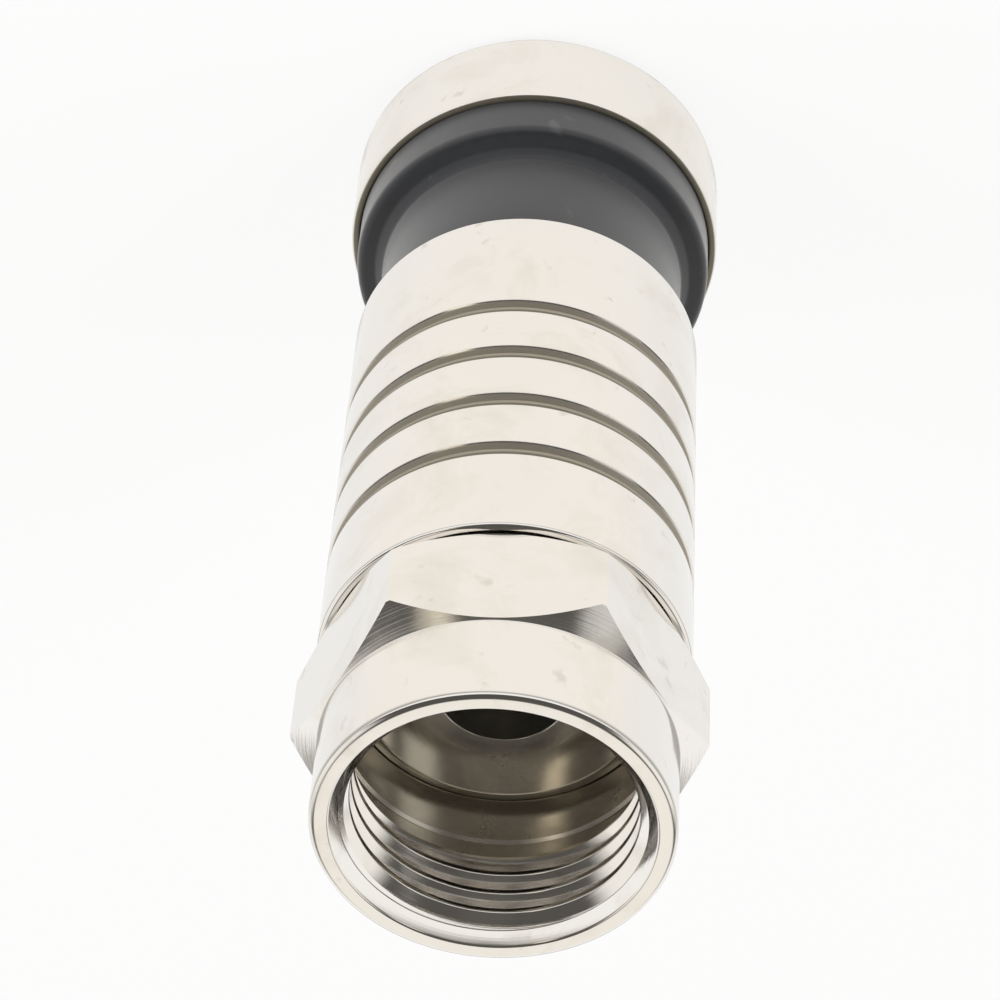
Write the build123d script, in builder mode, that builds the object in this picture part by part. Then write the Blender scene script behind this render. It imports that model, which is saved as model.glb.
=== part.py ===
"""Compression F connector: a swivel hex nut on a flanged post, a grooved body and a plastic sleeve.

The connector stands on its rear end: its axis is Z, the cable enters from below and the mouth of the nut is up.
Every turned piece is a profile of radius and height in the XZ plane, revolved about the Z axis.
"""

import os

from build123d import *

# Coupling nut, its thread a plain bore at the thread's major diameter
thread_major_diameter = 9.525
thread_depth = 2.95
hex_wall = 0.7875
collar_wall = 0.7175
countersink_width = 0.1375
relief_depth = 0.1875
nut_length = 7.05
collar_length = 3.18
collar_edge_radius = 0.25
hex_front_cone_length = 0.74
hex_rear_cone_length = 0.75
hex_corner_break = 0.04
nut_lip_thickness = 0.5

# Post
post_flange_width = 1.4
post_bore_chamfer = 0.15
post_flange_thickness = 0.5
post_hub_wall = 1.4
post_tube_wall = 0.4
barb_height = 0.4
barb_length = 1.6
post_length = 17.0

# Body, prouder than the flats of the nut
body_overhang = 0.3
body_wall = 0.55
body_length = 16.0
body_edge_chamfer = 0.15
front_wall_thickness = 2.1
groove_count = 4
groove_pitch = 2.45
first_groove_depth = 3.7
groove_width = 0.65
groove_bottom_width = 0.3
groove_depth = 0.25
rear_bore_depth = 8.2
rear_bore_chamfer = 0.2
squeeze_taper_length = 3.6
squeeze_taper_depth = 0.3

# Seal ring in the front face of the body
seal_section_diameter = 0.8
seal_inset = 0.5
seal_groove_width = 0.95
seal_groove_depth = 0.82

# Compression sleeve, drawn before it is driven home
visible_tube_length = 4.7
sleeve_wall = 1.05
sleeve_insertion = 3.2
sleeve_nose_length = 3.4
entry_relief = 0.2
entry_taper_length = 0.6
cable_entry_depth = 7.8
cable_entry_chamfer = 0.3
flange_overhang = 0.35
flange_length = 5.3
flange_edge_radius = 0.4
flange_root_width = 0.2

# Band round the flange of the sleeve
band_wall = 0.3
band_length = 3.9
band_corner_radius = 0.6
band_opening_margin = 0.5

# Clearances
swivel_clearance = 0.1
lip_clearance = 0.05
flange_clearance = 0.15
slide_clearance = 0.05
press_clearance = 0.01

# Heights above the surface it stands on
flange_rear = band_wall + press_clearance
flange_front = flange_rear + flange_length
body_rear = flange_front + visible_tube_length
body_front = body_rear + body_length
nut_rear = body_front + swivel_clearance
nut_front = nut_rear + nut_length
cable_entry_end = flange_rear + cable_entry_depth
tube_end = body_rear + sleeve_insertion
nose_end = tube_end + sleeve_nose_length
rear_bore_end = body_rear + rear_bore_depth
squeeze_end = rear_bore_end + squeeze_taper_length
chamber_end = body_front - front_wall_thickness
first_groove = body_front - first_groove_depth
collar_end = nut_front - collar_length
hex_front = collar_end - hex_front_cone_length
hex_rear = nut_rear + hex_rear_cone_length
thread_end = nut_front - thread_depth
lip_front = nut_rear + nut_lip_thickness
post_seat = lip_front + lip_clearance
post_face = post_seat + post_flange_thickness
post_tail = post_face - post_length

# Radii
thread_radius = thread_major_diameter / 2
flat_radius = thread_radius + hex_wall
hex_corner_radius = RegularPolygon(flat_radius, 6, major_radius=False).radius - hex_corner_break
collar_radius = thread_radius + collar_wall
countersink_radius = thread_radius + countersink_width
relief_radius = thread_radius + relief_depth
post_flange_radius = relief_radius - flange_clearance
post_hub_radius = post_flange_radius - post_flange_width
post_bore_radius = post_hub_radius - post_hub_wall
post_tube_radius = post_bore_radius + post_tube_wall
barb_radius = post_tube_radius + barb_height
lip_radius = post_hub_radius + swivel_clearance
post_seat_radius = post_hub_radius + press_clearance
seal_radius = post_flange_radius - seal_inset
body_radius = flat_radius + body_overhang
rear_bore_radius = body_radius - body_wall
squeeze_radius = rear_bore_radius - squeeze_taper_depth
tube_radius = rear_bore_radius - slide_clearance
nose_radius = squeeze_radius - slide_clearance
sleeve_bore_radius = tube_radius - sleeve_wall
entry_radius = sleeve_bore_radius + entry_relief
flange_radius = body_radius + flange_overhang
band_bore_radius = flange_radius + press_clearance
band_radius = band_bore_radius + band_wall
band_opening_radius = entry_radius + band_opening_margin

# Hex bar turned to a collar and two cones, then bored from the mouth
with BuildPart() as coupling_nut:
    with BuildSketch(Plane.XZ):
        with BuildLine():
            Polyline(
                (lip_radius, nut_rear),
                (flat_radius, nut_rear),
                (hex_corner_radius, hex_rear),
                (hex_corner_radius, hex_front),
                (collar_radius, collar_end),
                (collar_radius, nut_front),
                (countersink_radius, nut_front),
                (thread_radius, nut_front - countersink_width),
                (thread_radius, thread_end),
                (relief_radius, thread_end - relief_depth),
                (relief_radius, lip_front),
                (lip_radius, lip_front),
                close=True,
            )
        make_face()
    revolve(axis=Axis.Z)
    with BuildSketch(Plane.XY.offset(nut_rear)):
        RegularPolygon(flat_radius, 6, major_radius=False)
    extrude(amount=nut_length, mode=Mode.INTERSECT)
    rim = coupling_nut.edges().filter_by(GeomType.CIRCLE).group_by(Axis.Z)[-1]
    fillet(rim.sort_by(SortBy.RADIUS)[-1], collar_edge_radius)
coupling_nut.part.label = "coupling_nut"

# Flange that the nut turns on, hub pressed into the body, barbed tube that goes under the cable's braid
with BuildPart() as inner_post:
    with BuildSketch(Plane.XZ):
        with BuildLine():
            Polyline(
                (post_bore_radius + post_bore_chamfer, post_face),
                (post_flange_radius, post_face),
                (post_flange_radius, post_seat),
                (post_hub_radius, post_seat),
                (post_hub_radius, chamber_end),
                (post_tube_radius, chamber_end),
                (post_tube_radius, post_tail + barb_length),
                (barb_radius, post_tail + barb_length),
                (post_tube_radius, post_tail),
                (post_bore_radius, post_tail),
                (post_bore_radius, post_face - post_bore_chamfer),
                close=True,
            )
        make_face()
    revolve(axis=Axis.Z)
inner_post.part.label = "inner_post"

# Tube with a wall at the front for the post and a wide rear bore that narrows to squeeze the sleeve
with BuildPart() as connector_body:
    with BuildSketch(Plane.XZ):
        with BuildLine():
            Polyline(
                (rear_bore_radius + rear_bore_chamfer, body_rear),
                (body_radius - body_edge_chamfer, body_rear),
                (body_radius, body_rear + body_edge_chamfer),
                (body_radius, body_front - body_edge_chamfer),
                (body_radius - body_edge_chamfer, body_front),
                (post_seat_radius, body_front),
                (post_seat_radius, chamber_end),
                (squeeze_radius, chamber_end),
                (squeeze_radius, squeeze_end),
                (rear_bore_radius, rear_bore_end),
                (rear_bore_radius, body_rear + rear_bore_chamfer),
                close=True,
            )
        make_face()
        for i in range(groove_count):
            groove = first_groove - i * groove_pitch
            with BuildLine():
                Polyline(
                    (body_radius, groove + groove_width / 2),
                    (body_radius - groove_depth, groove + groove_bottom_width / 2),
                    (body_radius - groove_depth, groove - groove_bottom_width / 2),
                    (body_radius, groove - groove_width / 2),
                    close=True,
                )
            make_face(mode=Mode.SUBTRACT)
        with Locations((seal_radius, body_front - seal_groove_depth / 2)):
            Rectangle(seal_groove_width, seal_groove_depth, mode=Mode.SUBTRACT)
    revolve(axis=Axis.Z)
connector_body.part.label = "connector_body"

# Rubber ring that seals the nut against the body
with BuildPart() as nut_seal:
    with BuildSketch(Plane.XZ):
        with Locations((seal_radius, body_front - seal_groove_depth + seal_section_diameter / 2)):
            Circle(seal_section_diameter / 2)
    revolve(axis=Axis.Z)
nut_seal.part.label = "nut_seal"

# Plastic sleeve that the tool drives into the body over the cable's jacket
with BuildPart() as compression_sleeve:
    with BuildSketch(Plane.XZ):
        with BuildLine():
            Polyline(
                (entry_radius + cable_entry_chamfer, flange_rear),
                (flange_radius, flange_rear),
                (flange_radius, flange_front),
                (tube_radius + flange_root_width, flange_front),
                (tube_radius, flange_front + flange_root_width),
                (tube_radius, tube_end),
                (nose_radius, nose_end),
                (sleeve_bore_radius, nose_end),
                (sleeve_bore_radius, cable_entry_end + entry_taper_length),
                (entry_radius, cable_entry_end),
                (entry_radius, flange_rear + cable_entry_chamfer),
                close=True,
            )
        make_face()
    revolve(axis=Axis.Z)
    rims = compression_sleeve.edges().filter_by(GeomType.CIRCLE).sort_by(SortBy.RADIUS)[-2:]
    fillet(rims.sort_by(Axis.Z)[-1], flange_edge_radius)
compression_sleeve.part.label = "compression_sleeve"

# Drawn cup that keeps the sleeve's flange round under the tool
with BuildPart() as end_band:
    with BuildSketch(Plane.XZ):
        with BuildLine():
            Polyline(
                (band_opening_radius, 0),
                (band_radius, 0),
                (band_radius, band_length),
                (band_bore_radius, band_length),
                (band_bore_radius, band_wall),
                (band_opening_radius, band_wall),
                close=True,
            )
        make_face()
    revolve(axis=Axis.Z)
    foot = end_band.edges().filter_by(GeomType.CIRCLE).group_by(Axis.Z)[0]
    fillet(foot.sort_by(SortBy.RADIUS)[-1], band_corner_radius)
end_band.part.label = "end_band"

os.makedirs("parts", exist_ok=True)
export_step(coupling_nut.part, "parts/coupling_nut.step")
export_step(inner_post.part, "parts/inner_post.step")
export_step(connector_body.part, "parts/connector_body.step")
export_step(nut_seal.part, "parts/nut_seal.step")
export_step(compression_sleeve.part, "parts/compression_sleeve.step")
export_step(end_band.part, "parts/end_band.step")
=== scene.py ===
# %% [markdown]
# # A compression F connector
# The part is a small cable connector that stands on its rear end with the mouth of its nut up. Its CAD frame is
# loaded first, because it fixes every size and place. The pieces that are seen are then turned again with softer
# edges than the frame has, and get a plating or plastic finish. The hidden seal keeps its CAD mesh.

# %% Load the frame
import math

import bpy
from mathutils import Matrix, Vector


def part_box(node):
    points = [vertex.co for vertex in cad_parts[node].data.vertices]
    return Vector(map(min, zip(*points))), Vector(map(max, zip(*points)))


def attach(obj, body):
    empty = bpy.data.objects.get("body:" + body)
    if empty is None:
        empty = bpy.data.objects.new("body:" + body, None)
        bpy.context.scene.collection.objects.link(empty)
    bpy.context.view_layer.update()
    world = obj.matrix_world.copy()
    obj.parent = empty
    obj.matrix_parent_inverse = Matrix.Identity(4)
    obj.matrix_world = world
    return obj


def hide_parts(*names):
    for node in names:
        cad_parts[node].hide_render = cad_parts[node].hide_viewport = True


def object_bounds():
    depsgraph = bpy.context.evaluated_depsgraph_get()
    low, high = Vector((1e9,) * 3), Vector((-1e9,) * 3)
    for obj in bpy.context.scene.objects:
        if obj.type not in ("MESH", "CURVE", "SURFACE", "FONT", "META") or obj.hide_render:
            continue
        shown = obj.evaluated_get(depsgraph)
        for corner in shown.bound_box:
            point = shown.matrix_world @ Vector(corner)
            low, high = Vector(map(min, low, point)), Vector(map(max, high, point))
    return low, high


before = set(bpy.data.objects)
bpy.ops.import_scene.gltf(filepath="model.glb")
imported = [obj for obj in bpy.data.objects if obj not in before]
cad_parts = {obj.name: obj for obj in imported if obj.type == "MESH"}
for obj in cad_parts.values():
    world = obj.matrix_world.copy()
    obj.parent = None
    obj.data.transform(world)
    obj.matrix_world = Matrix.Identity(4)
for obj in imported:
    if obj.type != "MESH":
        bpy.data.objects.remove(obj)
cad_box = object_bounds()
MM = 0.001
print("CAD box in mm:", [[round(v / MM, 2) for v in corner] for corner in cad_box])

# %% [markdown]
# ## Sizes
# The boxes of the CAD nodes give the heights and outer radii of each piece. Sizes that a box can't show, such as the
# depth of a groove, are written where they are needed, in millimetres. They follow the CAD source, apart from soft
# edges and fine cuts that only the eye needs, such as the thread and the undercut behind it.

# %% Heights and radii from the frame


def span(node):
    low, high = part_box(node)
    return low.z / MM, high.z / MM


def radius(node):
    low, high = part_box(node)
    return (high.y - low.y) / 2 / MM


NUT_REAR, NUT_FRONT = span("coupling_nut")
BODY_REAR, BODY_FRONT = span("connector_body")
SLEEVE_REAR, SLEEVE_FRONT = span("compression_sleeve")
BAND_REAR, BAND_FRONT = span("end_band")
FLAT_RADIUS = radius("coupling_nut")
BODY_RADIUS = radius("connector_body")
FLANGE_RADIUS = radius("compression_sleeve")
BAND_RADIUS = radius("end_band")
print("heights in mm:", [round(h, 2) for h in (BAND_FRONT, BODY_REAR, BODY_FRONT, NUT_REAR, NUT_FRONT)])
print("radii in mm:", [round(r, 3) for r in (FLAT_RADIUS, BODY_RADIUS, FLANGE_RADIUS, BAND_RADIUS)])

# %% [markdown]
# ## How a turned piece is made
# Nearly all of the connector comes off a lathe. A lathe piece could be a profile with a Screw modifier, or a circle
# that is extruded and scaled again and again. The second way is used, because each step is the cut that a turner
# would make. Every corner of a profile carries the radius that it is rounded with, so that the edges catch light.

# %% Helpers for turned pieces
ROUND_STEPS = 4
ROUND_SHARE = 0.7  # of an edge, the most that one rounding takes up
TURN_SEGMENTS = 192
TURN_SMOOTH = math.radians(32)
MERGE = 0.0005 * MM
FINE_EDGE, SOFT_EDGE = 0.03, 0.05  # roundings that many pieces share


def rounded(corners):
    """Points of a closed profile of (radius, height, rounding) corners, each corner replaced by its arc."""
    points = []
    for i, (r, z, rounding) in enumerate(corners):
        corner = Vector((r, z))
        before = Vector(corners[i - 1][:2]) - corner
        after = Vector(corners[(i + 1) % len(corners)][:2]) - corner
        if rounding == 0:
            points.append(corner)
            continue
        half = before.angle(after) / 2
        reach = min(rounding / math.tan(half), before.length * ROUND_SHARE, after.length * ROUND_SHARE)
        start, end = corner + before.normalized() * reach, corner + after.normalized() * reach
        for k in range(ROUND_STEPS + 1):
            t = k / ROUND_STEPS
            points.append((1 - t) ** 2 * start + 2 * t * (1 - t) * corner + t * t * end)
    return points


def start_edit():
    bpy.ops.object.mode_set(mode="EDIT")
    bpy.ops.mesh.select_mode(type="VERT")
    bpy.ops.mesh.select_all(action="SELECT")


def close_mesh():
    """Merge the seams, turn all faces outward and leave edit mode."""
    bpy.ops.mesh.select_all(action="SELECT")
    bpy.ops.mesh.remove_doubles(threshold=MERGE)
    bpy.ops.mesh.normals_make_consistent(inside=False)
    bpy.ops.object.mode_set(mode="OBJECT")


def turn(name, corners):
    """A closed turned piece: a circle, extruded and scaled from point to point of its profile."""
    points = rounded(corners)
    points.append(points[0])
    bpy.ops.object.select_all(action="DESELECT")
    r, z = points[0]
    bpy.ops.mesh.primitive_circle_add(vertices=TURN_SEGMENTS, radius=r * MM, location=(0, 0, z * MM))
    piece = bpy.context.object
    piece.name = piece.data.name = name
    bpy.ops.object.transform_apply(location=True, rotation=True, scale=True)
    start_edit()
    for (r, z), (next_r, next_z) in zip(points, points[1:]):
        step = (0, 0, (next_z - z) * MM)
        bpy.ops.mesh.extrude_region_move(TRANSFORM_OT_translate={"value": step})
        if next_r != r:
            k = next_r / r
            bpy.ops.transform.resize(value=(k, k, 1), center_override=(0, 0, next_z * MM))
    close_mesh()
    bpy.ops.object.shade_smooth_by_angle(angle=TURN_SMOOTH)
    print(name, "faces:", len(piece.data.polygons))
    return piece


# %% [markdown]
# ## Body
# The body is a plain tube with four shallow grooves round it. The grooves could be a bump in the material, but they
# catch the light as real cuts, so each is a notch in the profile, with the low ridge that its tool leaves in it.

# %% Turn the body
GROOVES = 4
GROOVE_PITCH, FIRST_GROOVE = 2.45, 3.7
GROOVE_WIDTH, GROOVE_BOTTOM, GROOVE_DEPTH = 0.65, 0.3, 0.25
RIDGE_HALF, RIDGE_DEPTH = 0.06, 0.12
REAR_WALL, SQUEEZE_WALL, POST_SEAT_RADIUS = 0.55, 0.85, 3.41
REAR_BORE_RADIUS, SQUEEZE_RADIUS = BODY_RADIUS - REAR_WALL, BODY_RADIUS - SQUEEZE_WALL
REAR_BORE_DEPTH, SQUEEZE_LENGTH, FRONT_WALL = 8.2, 3.6, 2.1
REAR_BORE_CHAMFER = 0.2
BODY_REAR_ROUNDING, BODY_FRONT_ROUNDING = 0.15, 0.16
SEAL_IN, SEAL_OUT, SEAL_DEPTH = 3.825, 4.775, 0.82

body_profile = [
    (REAR_BORE_RADIUS + REAR_BORE_CHAMFER, BODY_REAR, FINE_EDGE),
    (BODY_RADIUS, BODY_REAR, BODY_REAR_ROUNDING),
]
for i in reversed(range(GROOVES)):
    z = BODY_FRONT - FIRST_GROOVE - i * GROOVE_PITCH
    body_profile += [
        (BODY_RADIUS, z - GROOVE_WIDTH / 2, SOFT_EDGE),
        (BODY_RADIUS - GROOVE_DEPTH, z - GROOVE_BOTTOM / 2, FINE_EDGE),
        (BODY_RADIUS - RIDGE_DEPTH, z - RIDGE_HALF, FINE_EDGE),
        (BODY_RADIUS - RIDGE_DEPTH, z + RIDGE_HALF, FINE_EDGE),
        (BODY_RADIUS - GROOVE_DEPTH, z + GROOVE_BOTTOM / 2, FINE_EDGE),
        (BODY_RADIUS, z + GROOVE_WIDTH / 2, SOFT_EDGE),
    ]
body_profile += [
    (BODY_RADIUS, BODY_FRONT, BODY_FRONT_ROUNDING),
    (SEAL_OUT, BODY_FRONT, SOFT_EDGE),
    (SEAL_OUT, BODY_FRONT - SEAL_DEPTH, 0),
    (SEAL_IN, BODY_FRONT - SEAL_DEPTH, 0),
    (SEAL_IN, BODY_FRONT, SOFT_EDGE),
    (POST_SEAT_RADIUS, BODY_FRONT, 0),
    (POST_SEAT_RADIUS, BODY_FRONT - FRONT_WALL, 0),
    (SQUEEZE_RADIUS, BODY_FRONT - FRONT_WALL, 0),
    (SQUEEZE_RADIUS, BODY_REAR + REAR_BORE_DEPTH + SQUEEZE_LENGTH, 0),
    (REAR_BORE_RADIUS, BODY_REAR + REAR_BORE_DEPTH, 0),
    (REAR_BORE_RADIUS, BODY_REAR + REAR_BORE_CHAMFER, FINE_EDGE),
]
body = turn("body_tube", body_profile)
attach(body, "shell")
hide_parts("connector_body")

# %% [markdown]
# ## Sleeve and band
# The sleeve is a moulding: a thin tube with a thick flange that has a rounded shoulder. The band is a cup drawn from
# sheet, so its rear corner is well rounded and its front edge is thin.

# %% Turn the sleeve
SLIDE_GAP, SLEEVE_INSET = 0.05, 1.1  # from the body's bore to the sleeve's outside and inside
TUBE_RADIUS, SLEEVE_BORE = REAR_BORE_RADIUS - SLIDE_GAP, REAR_BORE_RADIUS - SLEEVE_INSET
VISIBLE_TUBE, INSERTION = 4.7, 3.2
FLANGE_FRONT, TUBE_END = BODY_REAR - VISIBLE_TUBE, BODY_REAR + INSERTION
NOSE_RADIUS = SQUEEZE_RADIUS - SLIDE_GAP
ENTRY_RELIEF, ENTRY_DEPTH, ENTRY_TAPER, ENTRY_CHAMFER = 0.2, 7.8, 0.6, 0.3
ENTRY_RADIUS, ENTRY_END = SLEEVE_BORE + ENTRY_RELIEF, SLEEVE_REAR + ENTRY_DEPTH
MOULD_EDGE, SHOULDER_ROUNDING = 0.1, 0.32
FLANGE_ROOT, ROOT_OUTER_ROUNDING, ROOT_INNER_ROUNDING = 0.3, 0.2, 0.3

sleeve = turn("sleeve_moulding", [
    (ENTRY_RADIUS + ENTRY_CHAMFER, SLEEVE_REAR, MOULD_EDGE),
    (FLANGE_RADIUS, SLEEVE_REAR, SOFT_EDGE),
    (FLANGE_RADIUS, FLANGE_FRONT, SHOULDER_ROUNDING),
    (TUBE_RADIUS + FLANGE_ROOT, FLANGE_FRONT, ROOT_OUTER_ROUNDING),
    (TUBE_RADIUS, FLANGE_FRONT + FLANGE_ROOT, ROOT_INNER_ROUNDING),
    (TUBE_RADIUS, TUBE_END, 0),
    (NOSE_RADIUS, SLEEVE_FRONT, MOULD_EDGE),
    (SLEEVE_BORE, SLEEVE_FRONT, MOULD_EDGE),
    (SLEEVE_BORE, ENTRY_END + ENTRY_TAPER, 0),
    (ENTRY_RADIUS, ENTRY_END, 0),
    (ENTRY_RADIUS, SLEEVE_REAR + ENTRY_CHAMFER, MOULD_EDGE),
])
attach(sleeve, "compressor")
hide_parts("compression_sleeve")

# %% Turn the band
BAND_WALL, OPENING_MARGIN = 0.3, 0.5
BAND_BORE, BAND_OPENING = BAND_RADIUS - BAND_WALL, ENTRY_RADIUS + OPENING_MARGIN
BAND_CORNER, BAND_BEND = 0.6, 0.15
OPENING_EDGE, FRONT_OUTER_EDGE, FRONT_INNER_EDGE = 0.08, 0.15, 0.1

band = turn("band_cup", [
    (BAND_OPENING, BAND_REAR, OPENING_EDGE),
    (BAND_RADIUS, BAND_REAR, BAND_CORNER),
    (BAND_RADIUS, BAND_FRONT, FRONT_OUTER_EDGE),
    (BAND_BORE, BAND_FRONT, FRONT_INNER_EDGE),
    (BAND_BORE, BAND_REAR + BAND_WALL, BAND_BEND),
    (BAND_OPENING, BAND_REAR + BAND_WALL, OPENING_EDGE),
])
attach(band, "compressor")
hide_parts("end_band")

# %% [markdown]
# ## Nut
# The nut is a piece of hex bar that is turned to a collar in front and to a cone at each end of the hex. So the
# turned blank is made first, and a Boolean with a hexagonal bar leaves the flats, with the curved edges where the
# cones cut them. A fine bevel takes the sharpness off.

# %% Sizes of the nut
HEX_SIDES, HALF_SIDE, BAR_LENGTH = 6, math.radians(30), 30
CORNER_RADIUS, CORNER_BREAK = FLAT_RADIUS / math.cos(HALF_SIDE), 0.04
COLLAR_STEP, COLLAR_LENGTH = 0.07, 3.18
COLLAR_RADIUS, COLLAR_END = FLAT_RADIUS - COLLAR_STEP, NUT_FRONT - COLLAR_LENGTH
FRONT_CONE, REAR_CONE = 0.74, 0.75
THREAD_RADIUS, THREAD_DEPTH = 4.7625, 3.45
RELIEF, MOUTH_WIDTH = 0.06, 0.1375
RELIEF_RADIUS, MOUTH_RADIUS = THREAD_RADIUS + RELIEF, THREAD_RADIUS + MOUTH_WIDTH
LEAD_IN_DEPTH, LEAD_IN_RADIUS, LEAD_IN_EDGE = 0.38, 4.6, 0.02
LEAD_IN_LAND, LEAD_IN_STEP = 0.03, 0.13  # below the lead-in cone
UNDERCUT_DEPTH, UNDERCUT_RADIUS = 4.42, 4.92
UNDERCUT_SLOPE, RELIEF_SLOPE = 0.15, 0.09
LIP_RADIUS, LIP_THICKNESS, LIP_CORNER = 3.5, 0.5, 0.1
RIM_ROUNDING, MOUTH_ROUNDING = 0.22, 0.12
LEAD_IN_END, THREAD_END = NUT_FRONT - LEAD_IN_DEPTH, NUT_FRONT - THREAD_DEPTH
UNDERCUT_END = NUT_FRONT - UNDERCUT_DEPTH
HEX_SMOOTH, HEX_BEVEL, BEVEL_SEGMENTS = math.radians(24), 0.03, 2
print("hex corners at radius", round(CORNER_RADIUS, 2))
print("thread from height", round(THREAD_END, 2), "to", round(LEAD_IN_END, 2))

# %% Turn the blank and cut it to the hex


def cut_to(piece, tool):
    """Keep the part of a piece that lies inside a tool, and remove the tool."""
    cut = piece.modifiers.new("cut", "BOOLEAN")
    cut.operation, cut.object, cut.solver = "INTERSECT", tool, "EXACT"
    bpy.ops.object.select_all(action="DESELECT")
    piece.select_set(True)
    bpy.context.view_layer.objects.active = piece
    bpy.ops.object.modifier_apply(modifier=cut.name)
    bpy.data.objects.remove(tool)


nut = turn("nut_hex", [
    (LIP_RADIUS, NUT_REAR, SOFT_EDGE),
    (FLAT_RADIUS, NUT_REAR, 0),
    (CORNER_RADIUS - CORNER_BREAK, NUT_REAR + REAR_CONE, 0),
    (CORNER_RADIUS - CORNER_BREAK, COLLAR_END - FRONT_CONE, 0),
    (COLLAR_RADIUS, COLLAR_END, SOFT_EDGE),
    (COLLAR_RADIUS, NUT_FRONT, RIM_ROUNDING),
    (MOUTH_RADIUS, NUT_FRONT, MOUTH_ROUNDING),
    (LEAD_IN_RADIUS, LEAD_IN_END, LEAD_IN_EDGE),
    (LEAD_IN_RADIUS, LEAD_IN_END - LEAD_IN_LAND, LEAD_IN_EDGE),
    (THREAD_RADIUS, LEAD_IN_END - LEAD_IN_STEP, 0),
    (THREAD_RADIUS, THREAD_END, SOFT_EDGE),
    (UNDERCUT_RADIUS, THREAD_END - UNDERCUT_SLOPE, SOFT_EDGE),
    (UNDERCUT_RADIUS, UNDERCUT_END, 0),
    (RELIEF_RADIUS, UNDERCUT_END - RELIEF_SLOPE, 0),
    (RELIEF_RADIUS, NUT_REAR + LIP_THICKNESS, LIP_CORNER),
    (LIP_RADIUS, NUT_REAR + LIP_THICKNESS, SOFT_EDGE),
])
bpy.ops.object.select_all(action="DESELECT")
bpy.ops.mesh.primitive_cylinder_add(
    vertices=HEX_SIDES, radius=CORNER_RADIUS * MM, depth=BAR_LENGTH * MM,
    location=(0, 0, NUT_FRONT * MM), rotation=(0, 0, HALF_SIDE))
cut_to(nut, bpy.context.object)
bpy.ops.object.shade_smooth_by_angle(angle=HEX_SMOOTH)
soften = nut.modifiers.new("soft edges", "BEVEL")
soften.width, soften.segments, soften.limit_method = HEX_BEVEL * MM, BEVEL_SEGMENTS, "ANGLE"
soften.angle_limit, soften.harden_normals = HEX_SMOOTH, True
bpy.ops.object.modifier_apply(modifier=soften.name)
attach(nut, "nut")
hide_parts("coupling_nut")
print("nut faces:", len(nut.data.polygons), [round(v / MM, 2) for v in nut.dimensions])

# %% [markdown]
# ## Thread
# The inside thread has 32 turns to the inch. In the solids it is a plain bore, so here its ridge is a piece of its
# own: one section of the ridge, swept along its helix by a Screw modifier. A cut thread is chamfered by the lead-in
# cone and fades out before the undercut behind it, so a Boolean with a turned ring of that outline trims both ends.

# %% Section of the thread
INCH, TURNS_PER_INCH = 25.4, 32
PITCH = INCH / TURNS_PER_INCH
CREST_RADIUS, CREST_FLAT, ROOT_FLAT = 4.34, PITCH / 4, PITCH / 8
CREST_ROUNDING, ROOT_ROUNDING = 0.06, 0.05
SUNK, SEAM = 0.05, 0.005
turn_half, root_half, crest_half = PITCH / 2 - SEAM, (PITCH - ROOT_FLAT) / 2, CREST_FLAT / 2
section = rounded([
    (THREAD_RADIUS + SUNK, -turn_half, 0),
    (THREAD_RADIUS - SEAM, -turn_half, 0),
    (THREAD_RADIUS - SEAM, -root_half, ROOT_ROUNDING),
    (CREST_RADIUS, -crest_half, CREST_ROUNDING),
    (CREST_RADIUS, crest_half, CREST_ROUNDING),
    (THREAD_RADIUS - SEAM, root_half, ROOT_ROUNDING),
    (THREAD_RADIUS - SEAM, turn_half, 0),
    (THREAD_RADIUS + SUNK, turn_half, 0),
])
print("points of the section:", len(section))

# %% Sweep the ridge of the thread and trim it
TURNS, TURN_STEPS = 6, 160
LAST_RIDGE, TURNS_BELOW = 2.6, 2.25  # depth of the last ridge seen, and what the helix goes on below it
ENTRY_GAP, ENTRY_FADE = 0.05, 0.5
RUN_OUT_LENGTH, RUN_OUT_DEPTH = 0.6, 0.17
CREST_CLEAR = 0.1
THREAD_SMOOTH = math.radians(25)

first_turn = NUT_FRONT - LAST_RIDGE - TURNS_BELOW * PITCH
bpy.ops.object.select_all(action="DESELECT")
bpy.ops.mesh.primitive_circle_add(vertices=len(section), radius=MM, fill_type="NGON")
thread = bpy.context.object
thread.name = thread.data.name = "nut_thread"
for vertex, (r, z) in zip(thread.data.vertices, section):
    vertex.co = (r * MM, 0, (first_turn + z) * MM)
sweep = thread.modifiers.new("helix", "SCREW")
sweep.axis, sweep.angle, sweep.screw_offset = "Z", math.tau, PITCH * MM
sweep.iterations, sweep.steps, sweep.render_steps = TURNS, TURN_STEPS, TURN_STEPS
bpy.ops.object.modifier_apply(modifier=sweep.name)
start_edit()
close_mesh()
cut_to(thread, turn("thread_outline", [
    (THREAD_RADIUS + SUNK / 2, THREAD_END + SEAM, 0),
    (THREAD_RADIUS + SUNK / 2, LEAD_IN_END - ENTRY_GAP, 0),
    (LEAD_IN_RADIUS, LEAD_IN_END - ENTRY_GAP, 0),
    (CREST_RADIUS - CREST_CLEAR, LEAD_IN_END - ENTRY_FADE, 0),
    (CREST_RADIUS - CREST_CLEAR, THREAD_END + RUN_OUT_LENGTH, 0),
    (CREST_RADIUS + RUN_OUT_DEPTH, THREAD_END + SEAM, 0),
]))
bpy.ops.object.shade_smooth_by_angle(angle=THREAD_SMOOTH)
even = thread.modifiers.new("flat flanks", "WEIGHTED_NORMAL")
even.keep_sharp = True
bpy.ops.object.modifier_apply(modifier=even.name)
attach(thread, "nut")
low, high = [f(v.co.z for v in thread.data.vertices) / MM for f in (min, max)]
print("thread from", round(NUT_FRONT - high, 2), "to", round(NUT_FRONT - low, 2), "mm below the mouth")

# %% [markdown]
# ## Post
# Of the post, only its flange and hole are seen, deep in the nut. It is turned too, with a softer edge on the flange
# than in the solids.

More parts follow.
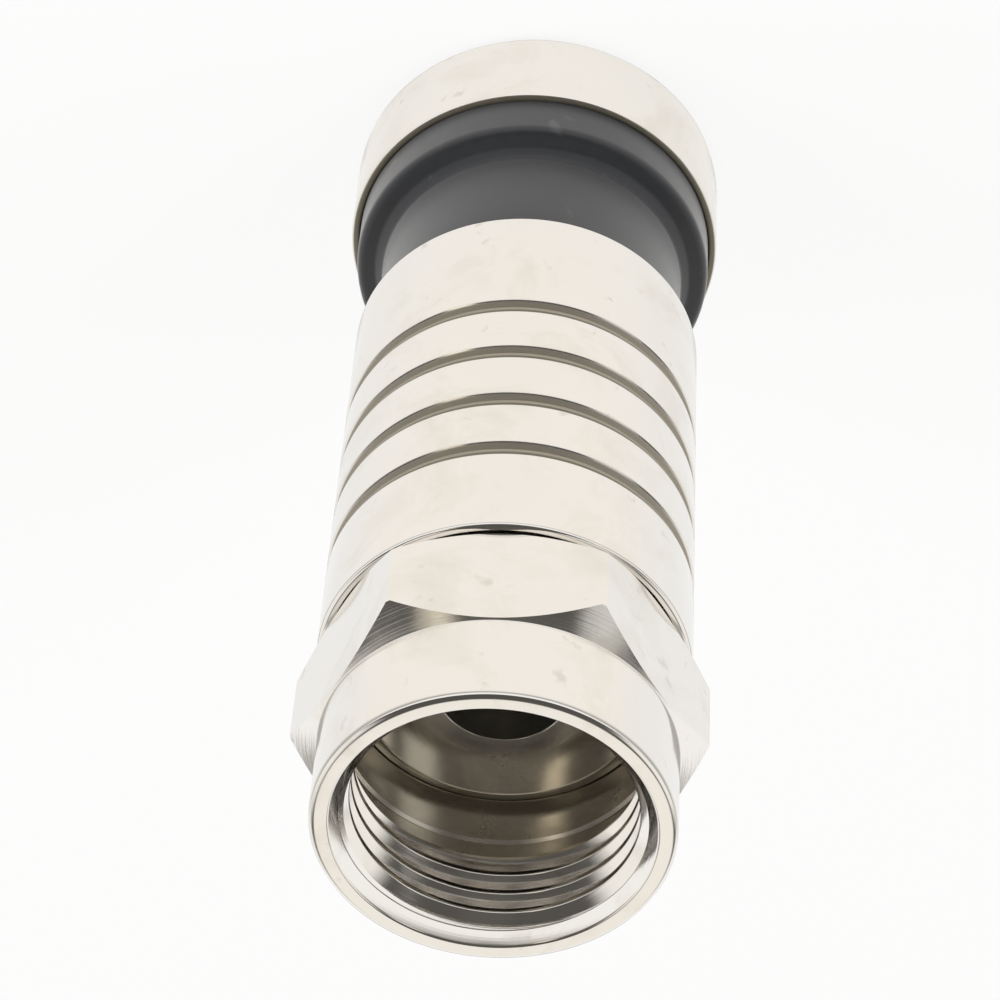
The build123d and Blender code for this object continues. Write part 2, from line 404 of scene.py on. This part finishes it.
# %% Turn the post
POST_TAIL, POST_FACE = span("inner_post")
POST_FLANGE_RADIUS, POST_FLANGE = radius("inner_post"), 0.5
HUB_INSET, BORE_INSET = 1.4, 2.8
HUB_RADIUS, BORE_RADIUS = POST_FLANGE_RADIUS - HUB_INSET, POST_FLANGE_RADIUS - BORE_INSET
TUBE_WALL, BARB_HEIGHT, BARB_LENGTH = 0.4, 0.4, 1.6
EDGE_BREAK_WIDTH, EDGE_BREAK_DROP = 0.5, 0.28
DISH_WIDTH, DISH_DROP = 0.7, 0.08
FLANGE_EDGE, FACE_OUTER_ROUNDING, FACE_INNER_ROUNDING = 0.08, 0.3, 0.4
POST_TUBE, POST_SEAT, HUB_END = BORE_RADIUS + TUBE_WALL, POST_FACE - POST_FLANGE, BODY_FRONT - FRONT_WALL

post = turn("post_turned", [
    (BORE_RADIUS, POST_TAIL, FINE_EDGE),
    (POST_TUBE, POST_TAIL, FINE_EDGE),
    (POST_TUBE + BARB_HEIGHT, POST_TAIL + BARB_LENGTH, FINE_EDGE),
    (POST_TUBE, POST_TAIL + BARB_LENGTH, FINE_EDGE),
    (POST_TUBE, HUB_END, 0),
    (HUB_RADIUS, HUB_END, FINE_EDGE),
    (HUB_RADIUS, POST_SEAT, 0),
    (POST_FLANGE_RADIUS, POST_SEAT, SOFT_EDGE),
    (POST_FLANGE_RADIUS, POST_FACE - EDGE_BREAK_DROP, FLANGE_EDGE),
    (POST_FLANGE_RADIUS - EDGE_BREAK_WIDTH, POST_FACE, FACE_OUTER_ROUNDING),
    (BORE_RADIUS + DISH_WIDTH, POST_FACE, FACE_INNER_ROUNDING),
    (BORE_RADIUS, POST_FACE - DISH_DROP, SOFT_EDGE),
])
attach(post, "shell")
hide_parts("inner_post")

# %% [markdown]
# ## Finishes
# The metal is turned brass under a bright nickel plating: warm white, with very fine turning marks, faint stains and
# a few small smudges. The marks and stains are shared by all plated pieces, so they are a node group.

# %% Node helpers


def add(tree, kind, place, **inputs):
    node = tree.nodes.new(kind)
    node.location = place
    for name, value in inputs.items():
        node.inputs[name.replace("_", " ")].default_value = value
    return node


def calc(tree, place, operation, second=None, kind="ShaderNodeMath"):
    """A Math or Vector Math node, with its second value where that is fixed."""
    node = add(tree, kind, place)
    node.operation = operation
    if second is not None:
        node.inputs[1].default_value = second
    return node


def colour_mix(tree, place, first=None, second=None):
    """A Mix node for colours, with those of its colours that are fixed."""
    node = add(tree, "ShaderNodeMix", place)
    node.data_type = "RGBA"
    for socket, colour in (("A", first), ("B", second)):
        if colour is not None:
            node.inputs[socket].default_value = (*colour, 1)
    return node


def blend(tree, place, under, colour, mask, strength):
    """A colour laid over another by a mask."""
    plain = isinstance(under, tuple)
    fade = calc(tree, (place[0] - 200, place[1]), "MULTIPLY", strength)
    layer = colour_mix(tree, place, under if plain else None, colour)
    tree.links.new(mask, fade.inputs[0])
    tree.links.new(fade.outputs["Value"], layer.inputs["Factor"])
    if not plain:
        tree.links.new(under, layer.inputs["A"])
    return layer.outputs["Result"]


# %% Plating marks, a node group
# Inside a recess the colour fades in over this distance: painted shade in the grooves and on the band's edge,
# painted light in the post's hole.
RECESS_FADE = 0.05  # mm, from the edge of a recess to its full dullness
VECTOR_MATH = "ShaderNodeVectorMath"

marks = bpy.data.node_groups.new("plating_marks", "ShaderNodeTree")
new_socket = marks.interface.new_socket
for socket in ("Recess Radius", "Ring Scale"):
    new_socket(socket, in_out="INPUT", socket_type="NodeSocketFloat")
for socket in ("Stain", "Speck", "Rings", "Recess"):
    new_socket(socket, in_out="OUTPUT", socket_type="NodeSocketFloat")
inside = add(marks, "NodeGroupInput", (-900, 0))
outside = add(marks, "NodeGroupOutput", (600, 0))
coords = add(marks, "ShaderNodeTexCoord", (-900, -200))
stain = add(marks, "ShaderNodeTexNoise", (-400, 300), Scale=330.0, Detail=5.0, Roughness=0.62, Distortion=0.6)
stain_cut = add(marks, "ShaderNodeMapRange", (-100, 300), From_Min=0.5, From_Max=0.78)
speck = add(marks, "ShaderNodeTexNoise", (-400, 50), Scale=1100.0, Detail=3.0)
speck_cut = add(marks, "ShaderNodeMapRange", (-100, 50), From_Min=0.66, From_Max=0.76)
height = add(marks, "ShaderNodeSeparateXYZ", (-600, -650))
profile = add(marks, "ShaderNodeCombineXYZ", (-200, -650))
rings = add(marks, "ShaderNodeTexNoise", (0, -650), Detail=4.0, Roughness=0.7)
flatten = calc(marks, (-600, -450), "MULTIPLY", (1, 1, 0), VECTOR_MATH)
reach = calc(marks, (-400, -450), "LENGTH", kind=VECTOR_MATH)
# Recess: 1 inside a given radius, the mask for painted shade in the grooves and on the band's edge, and for painted
# light in the post's hole.
depth = calc(marks, (-200, -450), "SUBTRACT")
recess = add(marks, "ShaderNodeMapRange", (0, -450), From_Min=0.0, From_Max=RECESS_FADE * MM)
link = marks.links.new
for node in (stain, speck, height):
    link(coords.outputs["Object"], node.inputs["Vector"])
link(coords.outputs["Object"], flatten.inputs[0])
link(flatten.outputs["Vector"], reach.inputs[0])
link(reach.outputs["Value"], profile.inputs["X"])
link(height.outputs["Z"], profile.inputs["Z"])
link(profile.outputs["Vector"], rings.inputs["Vector"])
link(inside.outputs["Ring Scale"], rings.inputs["Scale"])
link(stain.outputs["Fac"], stain_cut.inputs["Value"])
link(speck.outputs["Fac"], speck_cut.inputs["Value"])
link(inside.outputs["Recess Radius"], depth.inputs[0])
link(reach.outputs["Value"], depth.inputs[1])
link(depth.outputs["Value"], recess.inputs["Value"])
link(stain_cut.outputs["Result"], outside.inputs["Stain"])
link(speck_cut.outputs["Result"], outside.inputs["Speck"])
link(rings.outputs["Fac"], outside.inputs["Rings"])
link(recess.outputs["Result"], outside.inputs["Recess"])
print("node group:", marks.name, [s.name for s in marks.interface.items_tree])

# %% [markdown]
# ## Plated metal
# Bright plating is a metal with a low roughness. Stains and specks tint it and roughen it a little, and the turning
# marks tilt its mirror image by a trace. What lies deeper than a given radius is duller and can get a colour of its
# own: a darker one as painted shade in the grooves and on the band's edge, and a paler one as painted light in the
# post's hole. An image could be painted for this, but nodes stay sharp from any distance.

# %% Plated metal
# The recess colours are painted shade: one for the body's grooves, a darker one for the band's front edge.
SPECK, PAINTED_SHADE, EDGE_PAINTED_SHADE = (0.5, 0.47, 0.4), (0.34, 0.305, 0.24), (0.2, 0.175, 0.12)
STAIN_STRENGTH, SPECK_STRENGTH, RECESS_PAINT_STRENGTH = 0.8, 0.35, 0.9
RECESS_METAL, RECESS_ROUGHNESS = 0.85, 0.45
RING_SCALE, MARK_STRENGTH = 9000, 0.4
FINE_MARKS, COARSE_MARKS = 0.004, 0.014  # mm


def plated(name, clean, stained, roughness, recess_radius=0, recess_painted_tone=PAINTED_SHADE, mark_depth=FINE_MARKS):
    """A plated finish with its own colour, and inside a radius where one is given, a duller shine and a painted
    colour: painted shade, and painted light where a paler colour is passed.
    """
    material = bpy.data.materials.new(name)
    material.use_nodes = True
    tree = material.node_tree
    shader = tree.nodes["Principled BSDF"]
    group = add(tree, "ShaderNodeGroup", (-1200, 0))
    group.node_tree = marks
    group.inputs["Recess Radius"].default_value = recess_radius * MM
    group.inputs["Ring Scale"].default_value = RING_SCALE
    tone = blend(tree, (-800, 300), clean, stained, group.outputs["Stain"], STAIN_STRENGTH)
    tone = blend(tree, (-600, 300), tone, SPECK, group.outputs["Speck"], SPECK_STRENGTH)
    rough = add(tree, "ShaderNodeMapRange", (-400, -50), To_Min=roughness[0], To_Max=roughness[1])
    bump = add(tree, "ShaderNodeBump", (-400, -300), Strength=MARK_STRENGTH, Distance=mark_depth * MM)
    shine = rough.outputs["Result"]
    wire = tree.links.new
    if recess_radius:
        # Inside the recess radius the given colour is laid on: painted shade in grooves and on the band's edge,
        # painted light in the post's hole.
        tone = blend(tree, (-200, 300), tone, recess_painted_tone, group.outputs["Recess"], RECESS_PAINT_STRENGTH)
        metal = add(tree, "ShaderNodeMapRange", (-400, -500), To_Min=1.0, To_Max=RECESS_METAL)
        dulled = add(tree, "ShaderNodeMapRange", (-400, -700), To_Min=0.0, To_Max=RECESS_ROUGHNESS)
        duller = calc(tree, (-200, -50), "MAXIMUM")
        wire(group.outputs["Recess"], metal.inputs["Value"])
        wire(metal.outputs["Result"], shader.inputs["Metallic"])
        wire(group.outputs["Recess"], dulled.inputs["Value"])
        wire(shine, duller.inputs[0])
        wire(dulled.outputs["Result"], duller.inputs[1])
        shine = duller.outputs["Value"]
    else:
        shader.inputs["Metallic"].default_value = 1.0
    wire(tone, shader.inputs["Base Color"])
    wire(group.outputs["Stain"], rough.inputs["Value"])
    wire(shine, shader.inputs["Roughness"])
    wire(group.outputs["Rings"], bump.inputs["Height"])
    wire(bump.outputs["Normal"], shader.inputs["Normal"])
    return material


# %% Six kinds of plating
UNDER_SURFACE, OVER_BORE = 0.03, 0.02
CLEAN, STAINED, SHINE = (0.89, 0.865, 0.83), (0.8, 0.76, 0.69), (0.1, 0.28)
# In the nut's bore the nickel is darker, as painted shade, and its shine is rougher.
BORE_SHADE_CLEAN, BORE_SHADE_STAINED, BORE_SHINE = (0.68, 0.64, 0.57), (0.55, 0.5, 0.42), (0.2, 0.4)
TIN_CLEAN, TIN_STAINED, TIN_SHINE = (0.8, 0.77, 0.7), (0.66, 0.61, 0.52), (0.16, 0.35)
# Inside the post's hole the tin is paler than the clean tin: painted light.
HOLE_PAINTED_LIGHT = (0.9, 0.88, 0.82)

nickel = plated("nickel_plating", CLEAN, STAINED, SHINE)
# The body's grooves get a darker colour inside them: painted shade.
grooved = plated("nickel_with_painted_shade_in_grooves", CLEAN, STAINED, SHINE, BODY_RADIUS - UNDER_SURFACE)
# The band's front edge and its inside get a dark brown colour: painted shade.
rolled = plated("nickel_with_painted_shade_on_edge", CLEAN, STAINED, SHINE, BAND_RADIUS - UNDER_SURFACE, EDGE_PAINTED_SHADE)
# The nut's bore gets the darker nickel: painted shade.
dull_and_shaded = plated("nickel_with_painted_shade_in_the_bore", BORE_SHADE_CLEAN, BORE_SHADE_STAINED, BORE_SHINE)
# The post's hole gets the paler colour: painted light.
tin = plated("tin_plating", TIN_CLEAN, TIN_STAINED, TIN_SHINE, BORE_RADIUS + OVER_BORE, HOLE_PAINTED_LIGHT)
coarse = plated("nickel_on_coarse_turning", CLEAN, STAINED, SHINE, mark_depth=COARSE_MARKS)
print("metals:", nickel.name, grooved.name, rolled.name, dull_and_shaded.name, tin.name, coarse.name)

# %% [markdown]
# ## Plastic and rubber
# The sleeve is moulded in black plastic with a fine grain, which looks grey where it turns away from the eye. A
# rougher gloss alone would dull it all over, so a sheen on the shader gives that soft grey. A few scuffs and an
# uneven black keep it from looking like one flat colour. The rubber of the seal is the same with less gloss.

# %% Black plastic and rubber
SCUFF, SCUFF_STRENGTH = (0.09, 0.09, 0.095), 0.5
UNEVEN, UNEVEN_STRENGTH = 1.8, 0.8
GLOSS, SHEEN, SHEEN_ROUGHNESS = 0.55, 0.85, 0.42
GRAIN_STRENGTH, GRAIN_DEPTH = 0.1, 0.004  # depth in mm


def moulded(name, colour, roughness, grain):
    material = bpy.data.materials.new(name)
    material.use_nodes = True
    tree = material.node_tree
    shader = tree.nodes["Principled BSDF"]
    shader.inputs["Specular IOR Level"].default_value = GLOSS
    shader.inputs["Sheen Weight"].default_value = SHEEN
    shader.inputs["Sheen Roughness"].default_value = SHEEN_ROUGHNESS
    coords = add(tree, "ShaderNodeTexCoord", (-900, 0))
    noise = add(tree, "ShaderNodeTexNoise", (-700, 0), Scale=grain, Detail=4.0)
    scuff = add(tree, "ShaderNodeTexNoise", (-700, 300), Scale=700.0, Detail=3.0, Distortion=0.5)
    scuff_cut = add(tree, "ShaderNodeMapRange", (-500, 300), From_Min=0.66, From_Max=0.74)
    paler = [c * UNEVEN for c in colour]
    tone = blend(tree, (-300, 600), colour, paler, noise.outputs["Fac"], UNEVEN_STRENGTH)
    tone = blend(tree, (-200, 300), tone, SCUFF, scuff_cut.outputs["Result"], SCUFF_STRENGTH)
    rough = add(tree, "ShaderNodeMapRange", (-400, 0), To_Min=roughness[0], To_Max=roughness[1])
    bump = add(tree, "ShaderNodeBump", (-400, -300), Strength=GRAIN_STRENGTH, Distance=GRAIN_DEPTH * MM)
    wire = tree.links.new
    wire(coords.outputs["Object"], noise.inputs["Vector"])
    wire(coords.outputs["Object"], scuff.inputs["Vector"])
    wire(scuff.outputs["Fac"], scuff_cut.inputs["Value"])
    wire(tone, shader.inputs["Base Color"])
    wire(noise.outputs["Fac"], rough.inputs["Value"])
    wire(rough.outputs["Result"], shader.inputs["Roughness"])
    wire(noise.outputs["Fac"], bump.inputs["Height"])
    wire(bump.outputs["Normal"], shader.inputs["Normal"])
    return material


plastic = moulded("black_plastic", colour=(0.012, 0.013, 0.016), roughness=(0.34, 0.5), grain=2500.0)
rubber = moulded("seal_rubber", colour=(0.02, 0.02, 0.02), roughness=(0.5, 0.7), grain=3000.0)
print("mouldings:", plastic.name, rubber.name)

# %% [markdown]
# ## Each finish on its piece
# Most pieces have one finish. The body has plain plating on its front end, where no groove is. The nut's bore has a
# darker and rougher plating, its darker colour being painted shade, and the tool that cut the cone in front of its
# hex left coarser marks. A piece could be cut up for that, but more material slots, given to some of its faces, are
# enough.

# %% Give out the finishes
BODY_END = 1  # material slots after the first
NUT_BORE, NUT_CONE = 1, 2
FACES_UP = 0.5

finishes = {
    "nut_hex": nickel, "nut_thread": nickel, "body_tube": grooved, "band_cup": rolled,
    "post_turned": tin, "sleeve_moulding": plastic, "nut_seal": rubber,
}
for name, material in finishes.items():
    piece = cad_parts.get(name) or bpy.data.objects[name]
    piece.data.materials.clear()
    piece.data.materials.append(material)
body.data.materials.append(nickel)
for face in body.data.polygons:
    if face.center.z / MM > BODY_FRONT - FRONT_WALL:
        face.material_index = BODY_END
# The bore of the nut gets the darker nickel: painted shade.
nut.data.materials.append(dull_and_shaded)
nut.data.materials.append(coarse)
for face in nut.data.polygons:
    r, z = math.hypot(*face.center.xy) / MM, face.center.z / MM
    if r < UNDERCUT_RADIUS and z < THREAD_END:
        face.material_index = NUT_BORE
    elif r > COLLAR_RADIUS and face.normal.z > FACES_UP:
        face.material_index = NUT_CONE
print("finished:", list(finishes))

# %% [markdown]
# ## Studio
# The connector stands on a white floor. Polished metal is mostly a picture of what is round it: here the side walls
# mirror the floor and look cream, while the faces that look up mirror a darker room with a few soft windows. In a
# mirror image only, the floor is a little darker behind the connector, as painted shadow, and grey farther out, as
# painted shade, so that the walls aren't white all over.

# %% Floor
FLOOR_SIZE = 6
WHITE, PAPER = (1, 1, 1), (0.9, 0.9, 0.9)
# In mirror images the paper is darker behind the connector as painted shadow, and grey farther out as painted shade.
SHADOWED_PAPER, WARM_PAPER, FAR_PAINTED_SHADE = (0.95, 0.95, 0.945), (1, 0.96, 0.9), (0.4, 0.39, 0.37)
LIT_AREA_SHAPE = (1.6, 0.8, 0)  # narrower across than along
GLOW_SHARE = 0.85

bpy.ops.object.select_all(action="DESELECT")
bpy.ops.mesh.primitive_plane_add(size=FLOOR_SIZE, location=(0, 0, cad_box[0].z))
floor = bpy.context.object
floor.name = "floor"
paper = bpy.data.materials.new("white_paper")
paper.use_nodes = True
floor.data.materials.append(paper)
print("floor at", floor.location.z)

# %% Paper, with painted shadow and painted shade in its mirror image
tree = paper.node_tree
tree.nodes.remove(tree.nodes["Principled BSDF"])
matte = add(tree, "ShaderNodeBsdfDiffuse", (-400, 100), Color=(*PAPER, 1))
glow = add(tree, "ShaderNodeEmission", (-400, -100), Strength=1.0)
path = add(tree, "ShaderNodeLightPath", (-800, 300))
seen = calc(tree, (-600, 300), "MAXIMUM")
place = add(tree, "ShaderNodeTexCoord", (-1200, -100))
across = add(tree, "ShaderNodeSeparateXYZ", (-1000, -100))
front = add(tree, "ShaderNodeMapRange", (-800, -100), From_Min=0.01, From_Max=-0.018)
# In mirror images the paper is a little darker and cooler behind the connector: painted shadow.
paper_shadow = colour_mix(tree, (-700, -300), SHADOWED_PAPER, WARM_PAPER)
# Farther from the connector the mirrored paper turns grey: painted shade.
squeeze = calc(tree, (-1000, -500), "MULTIPLY", LIT_AREA_SHAPE, VECTOR_MATH)
away = calc(tree, (-850, -500), "LENGTH", kind=VECTOR_MATH)
edge = add(tree, "ShaderNodeMapRange", (-700, -500), From_Min=0.05, From_Max=0.2)
edge.interpolation_type = "SMOOTHSTEP"
far_shade = colour_mix(tree, (-600, -300), second=FAR_PAINTED_SHADE)
mirrored = colour_mix(tree, (-550, -300), first=WHITE)
share = calc(tree, (-400, 300), "MULTIPLY", GLOW_SHARE)
mix = add(tree, "ShaderNodeMixShader", (-100, 0))
wire = tree.links.new
wire(path.outputs["Is Camera Ray"], seen.inputs[0])
wire(path.outputs["Is Glossy Ray"], seen.inputs[1])
wire(place.outputs["Object"], across.inputs["Vector"])
wire(across.outputs["Y"], front.inputs["Value"])
wire(front.outputs["Result"], paper_shadow.inputs["Factor"])
wire(path.outputs["Is Glossy Ray"], mirrored.inputs["Factor"])
wire(place.outputs["Object"], squeeze.inputs[0])
wire(squeeze.outputs["Vector"], away.inputs[0])
wire(away.outputs["Value"], edge.inputs["Value"])
wire(edge.outputs["Result"], far_shade.inputs["Factor"])
wire(paper_shadow.outputs["Result"], far_shade.inputs["A"])
wire(far_shade.outputs["Result"], mirrored.inputs["B"])
wire(mirrored.outputs["Result"], glow.inputs["Color"])
wire(seen.outputs["Value"], share.inputs[0])
wire(share.outputs["Value"], mix.inputs["Fac"])
wire(matte.outputs["BSDF"], mix.inputs[1])
wire(glow.outputs["Emission"], mix.inputs[2])
wire(mix.outputs["Shader"], tree.nodes["Material Output"].inputs["Surface"])
print("paper nodes:", len(tree.nodes))

# %% [markdown]
# ## Room
# Metal needs something to mirror. Cards and lamps could stand round it, but a room painted on the world takes fewer
# objects: white near the floor, dark above, with soft patches, most of them bright like windows. On the camera's
# side, the white reaches higher.

# %% World
NEAR_RISE = 0.2  # how much higher the white reaches on the camera's side
FLOOR_WHITE, CEILING = (1.0, 1.0, 1.0), (0.09, 0.085, 0.077)
WALL_TONES = [(0.385, (0.98, 0.97, 0.95)), (0.44, (0.5, 0.48, 0.45)), (0.53, (0.1, 0.094, 0.086))]

world = bpy.data.worlds.new("room")
bpy.context.scene.world = world
world.use_nodes = True
tree = world.node_tree
background = tree.nodes["Background"]
coords = add(tree, "ShaderNodeTexCoord", (-1400, 0))
split = add(tree, "ShaderNodeSeparateXYZ", (-1200, 0))
nearer = calc(tree, (-1700, 200), "MINIMUM", 0.0)
raised = calc(tree, (-1550, 200), "MULTIPLY_ADD", NEAR_RISE)
height = add(tree, "ShaderNodeValToRGB", (-1400, 200))
tones = height.color_ramp.elements
tones[0].position, tones[0].color = 0.0, (*FLOOR_WHITE, 1)
tones[1].position, tones[1].color = 1.0, (*CEILING, 1)
for position, colour in WALL_TONES:
    tones.new(position).color = (*colour, 1)
wire = tree.links.new
wire(coords.outputs["Generated"], split.inputs["Vector"])
wire(split.outputs["Y"], nearer.inputs[0])
wire(nearer.outputs["Value"], raised.inputs[0])
wire(split.outputs["Z"], raised.inputs[2])
wire(raised.outputs["Value"], height.inputs["Fac"])
print("world:", world.name)

# %% Patches of the room
FIRST_PATCH_PLACE, PATCH_PLACE_STEP = -1100, 300
PATCHES = [  # colour, direction, inner and outer half angle in degrees
    ((0.95, 0.92, 0.86), (0.0, 0.75, 0.66), 14, 24),
    ((0.95, 0.93, 0.89), (0.66, 0.36, 0.66), 11, 24),
    ((0.95, 0.93, 0.89), (-0.66, 0.36, 0.66), 11, 24),
    ((0.11, 0.105, 0.095), (0.0, -0.57, 0.82), 14, 20),
    ((1.1, 1.0, 0.82), (0.44, -0.54, 0.71), 3, 8),
    ((0.68, 0.67, 0.64), (-0.62, -0.31, 0.72), 5, 14),
]


def patch(under, colour, towards, inner, outer, place):
    """A soft round patch of the room in one direction."""
    along = calc(tree, (place, -300), "DOT_PRODUCT", Vector(towards).normalized(), VECTOR_MATH)
    edge = add(tree, "ShaderNodeMapRange", (place + 150, -300))
    edge.interpolation_type = "SMOOTHSTEP"
    edge.inputs["From Min"].default_value = math.cos(math.radians(outer))
    edge.inputs["From Max"].default_value = math.cos(math.radians(inner))
    layer = colour_mix(tree, (place + 300, 0), second=colour)
    wire(coords.outputs["Generated"], along.inputs[0])
    wire(along.outputs["Value"], edge.inputs["Value"])
    wire(edge.outputs["Result"], layer.inputs["Factor"])
    wire(under, layer.inputs["A"])
    return layer.outputs["Result"]


room = height.outputs["Color"]
for i, (colour, towards, inner, outer) in enumerate(PATCHES):
    room = patch(room, colour, towards, inner, outer, FIRST_PATCH_PLACE + i * PATCH_PLACE_STEP)
wire(room, background.inputs["Color"])
print("patches:", len(PATCHES))

# %% [markdown]
# ## Lamps
# Two large lamps light the plastic and the floor softly from both sides. They are kept out of the metal's mirror
# images, where their sharp edges would look like stickers.

# %% Lamps
LAMP_SIDE, LAMP_WATTS, LAMP_AIM = 0.25, 0.7, (0, 0, 0.015)


def soft_lamp(name, place):
    light = bpy.data.lights.new(name, "AREA")
    light.shape, light.size, light.size_y, light.energy = "RECTANGLE", LAMP_SIDE, LAMP_SIDE, LAMP_WATTS
    lamp = bpy.data.objects.new(name, light)
    bpy.context.collection.objects.link(lamp)
    turn_to = (Vector(LAMP_AIM) - Vector(place)).to_track_quat("-Z", "Y")
    lamp.matrix_world = Matrix.Translation(place) @ turn_to.to_matrix().to_4x4()
    lamp.visible_glossy = False


soft_lamp("left_window", (-0.3, -0.1, 0.25))
soft_lamp("right_window", (0.3, -0.05, 0.25))

# %% [markdown]
# ## Camera
# The photo looks down into the mouth of the nut from close by, with the cable end at the top of the picture. As the
# connector stands on that end here, the camera looks down at it and is turned half round.

# %% Camera
LENS, SENSOR = 132.57, 36
NEAREST, FARTHEST = 0.005, 20
FROM_MOUTH = (-5.271, -76.425, 77.557)
TILT = (-39.429, 2.746, 178.997)

optics = bpy.data.cameras.new("camera")
optics.lens, optics.sensor_width = LENS, SENSOR
optics.clip_start, optics.clip_end = NEAREST, FARTHEST
camera = bpy.data.objects.new("camera", optics)
bpy.context.collection.objects.link(camera)
x, y, z = FROM_MOUTH
camera.location = (x * MM, y * MM, (z + NUT_FRONT) * MM)
camera.rotation_euler = [math.radians(a) for a in TILT]
bpy.context.scene.camera = camera
bpy.context.scene.view_settings.view_transform = "Standard"
print("camera at", [round(v / MM, 1) for v in camera.location])
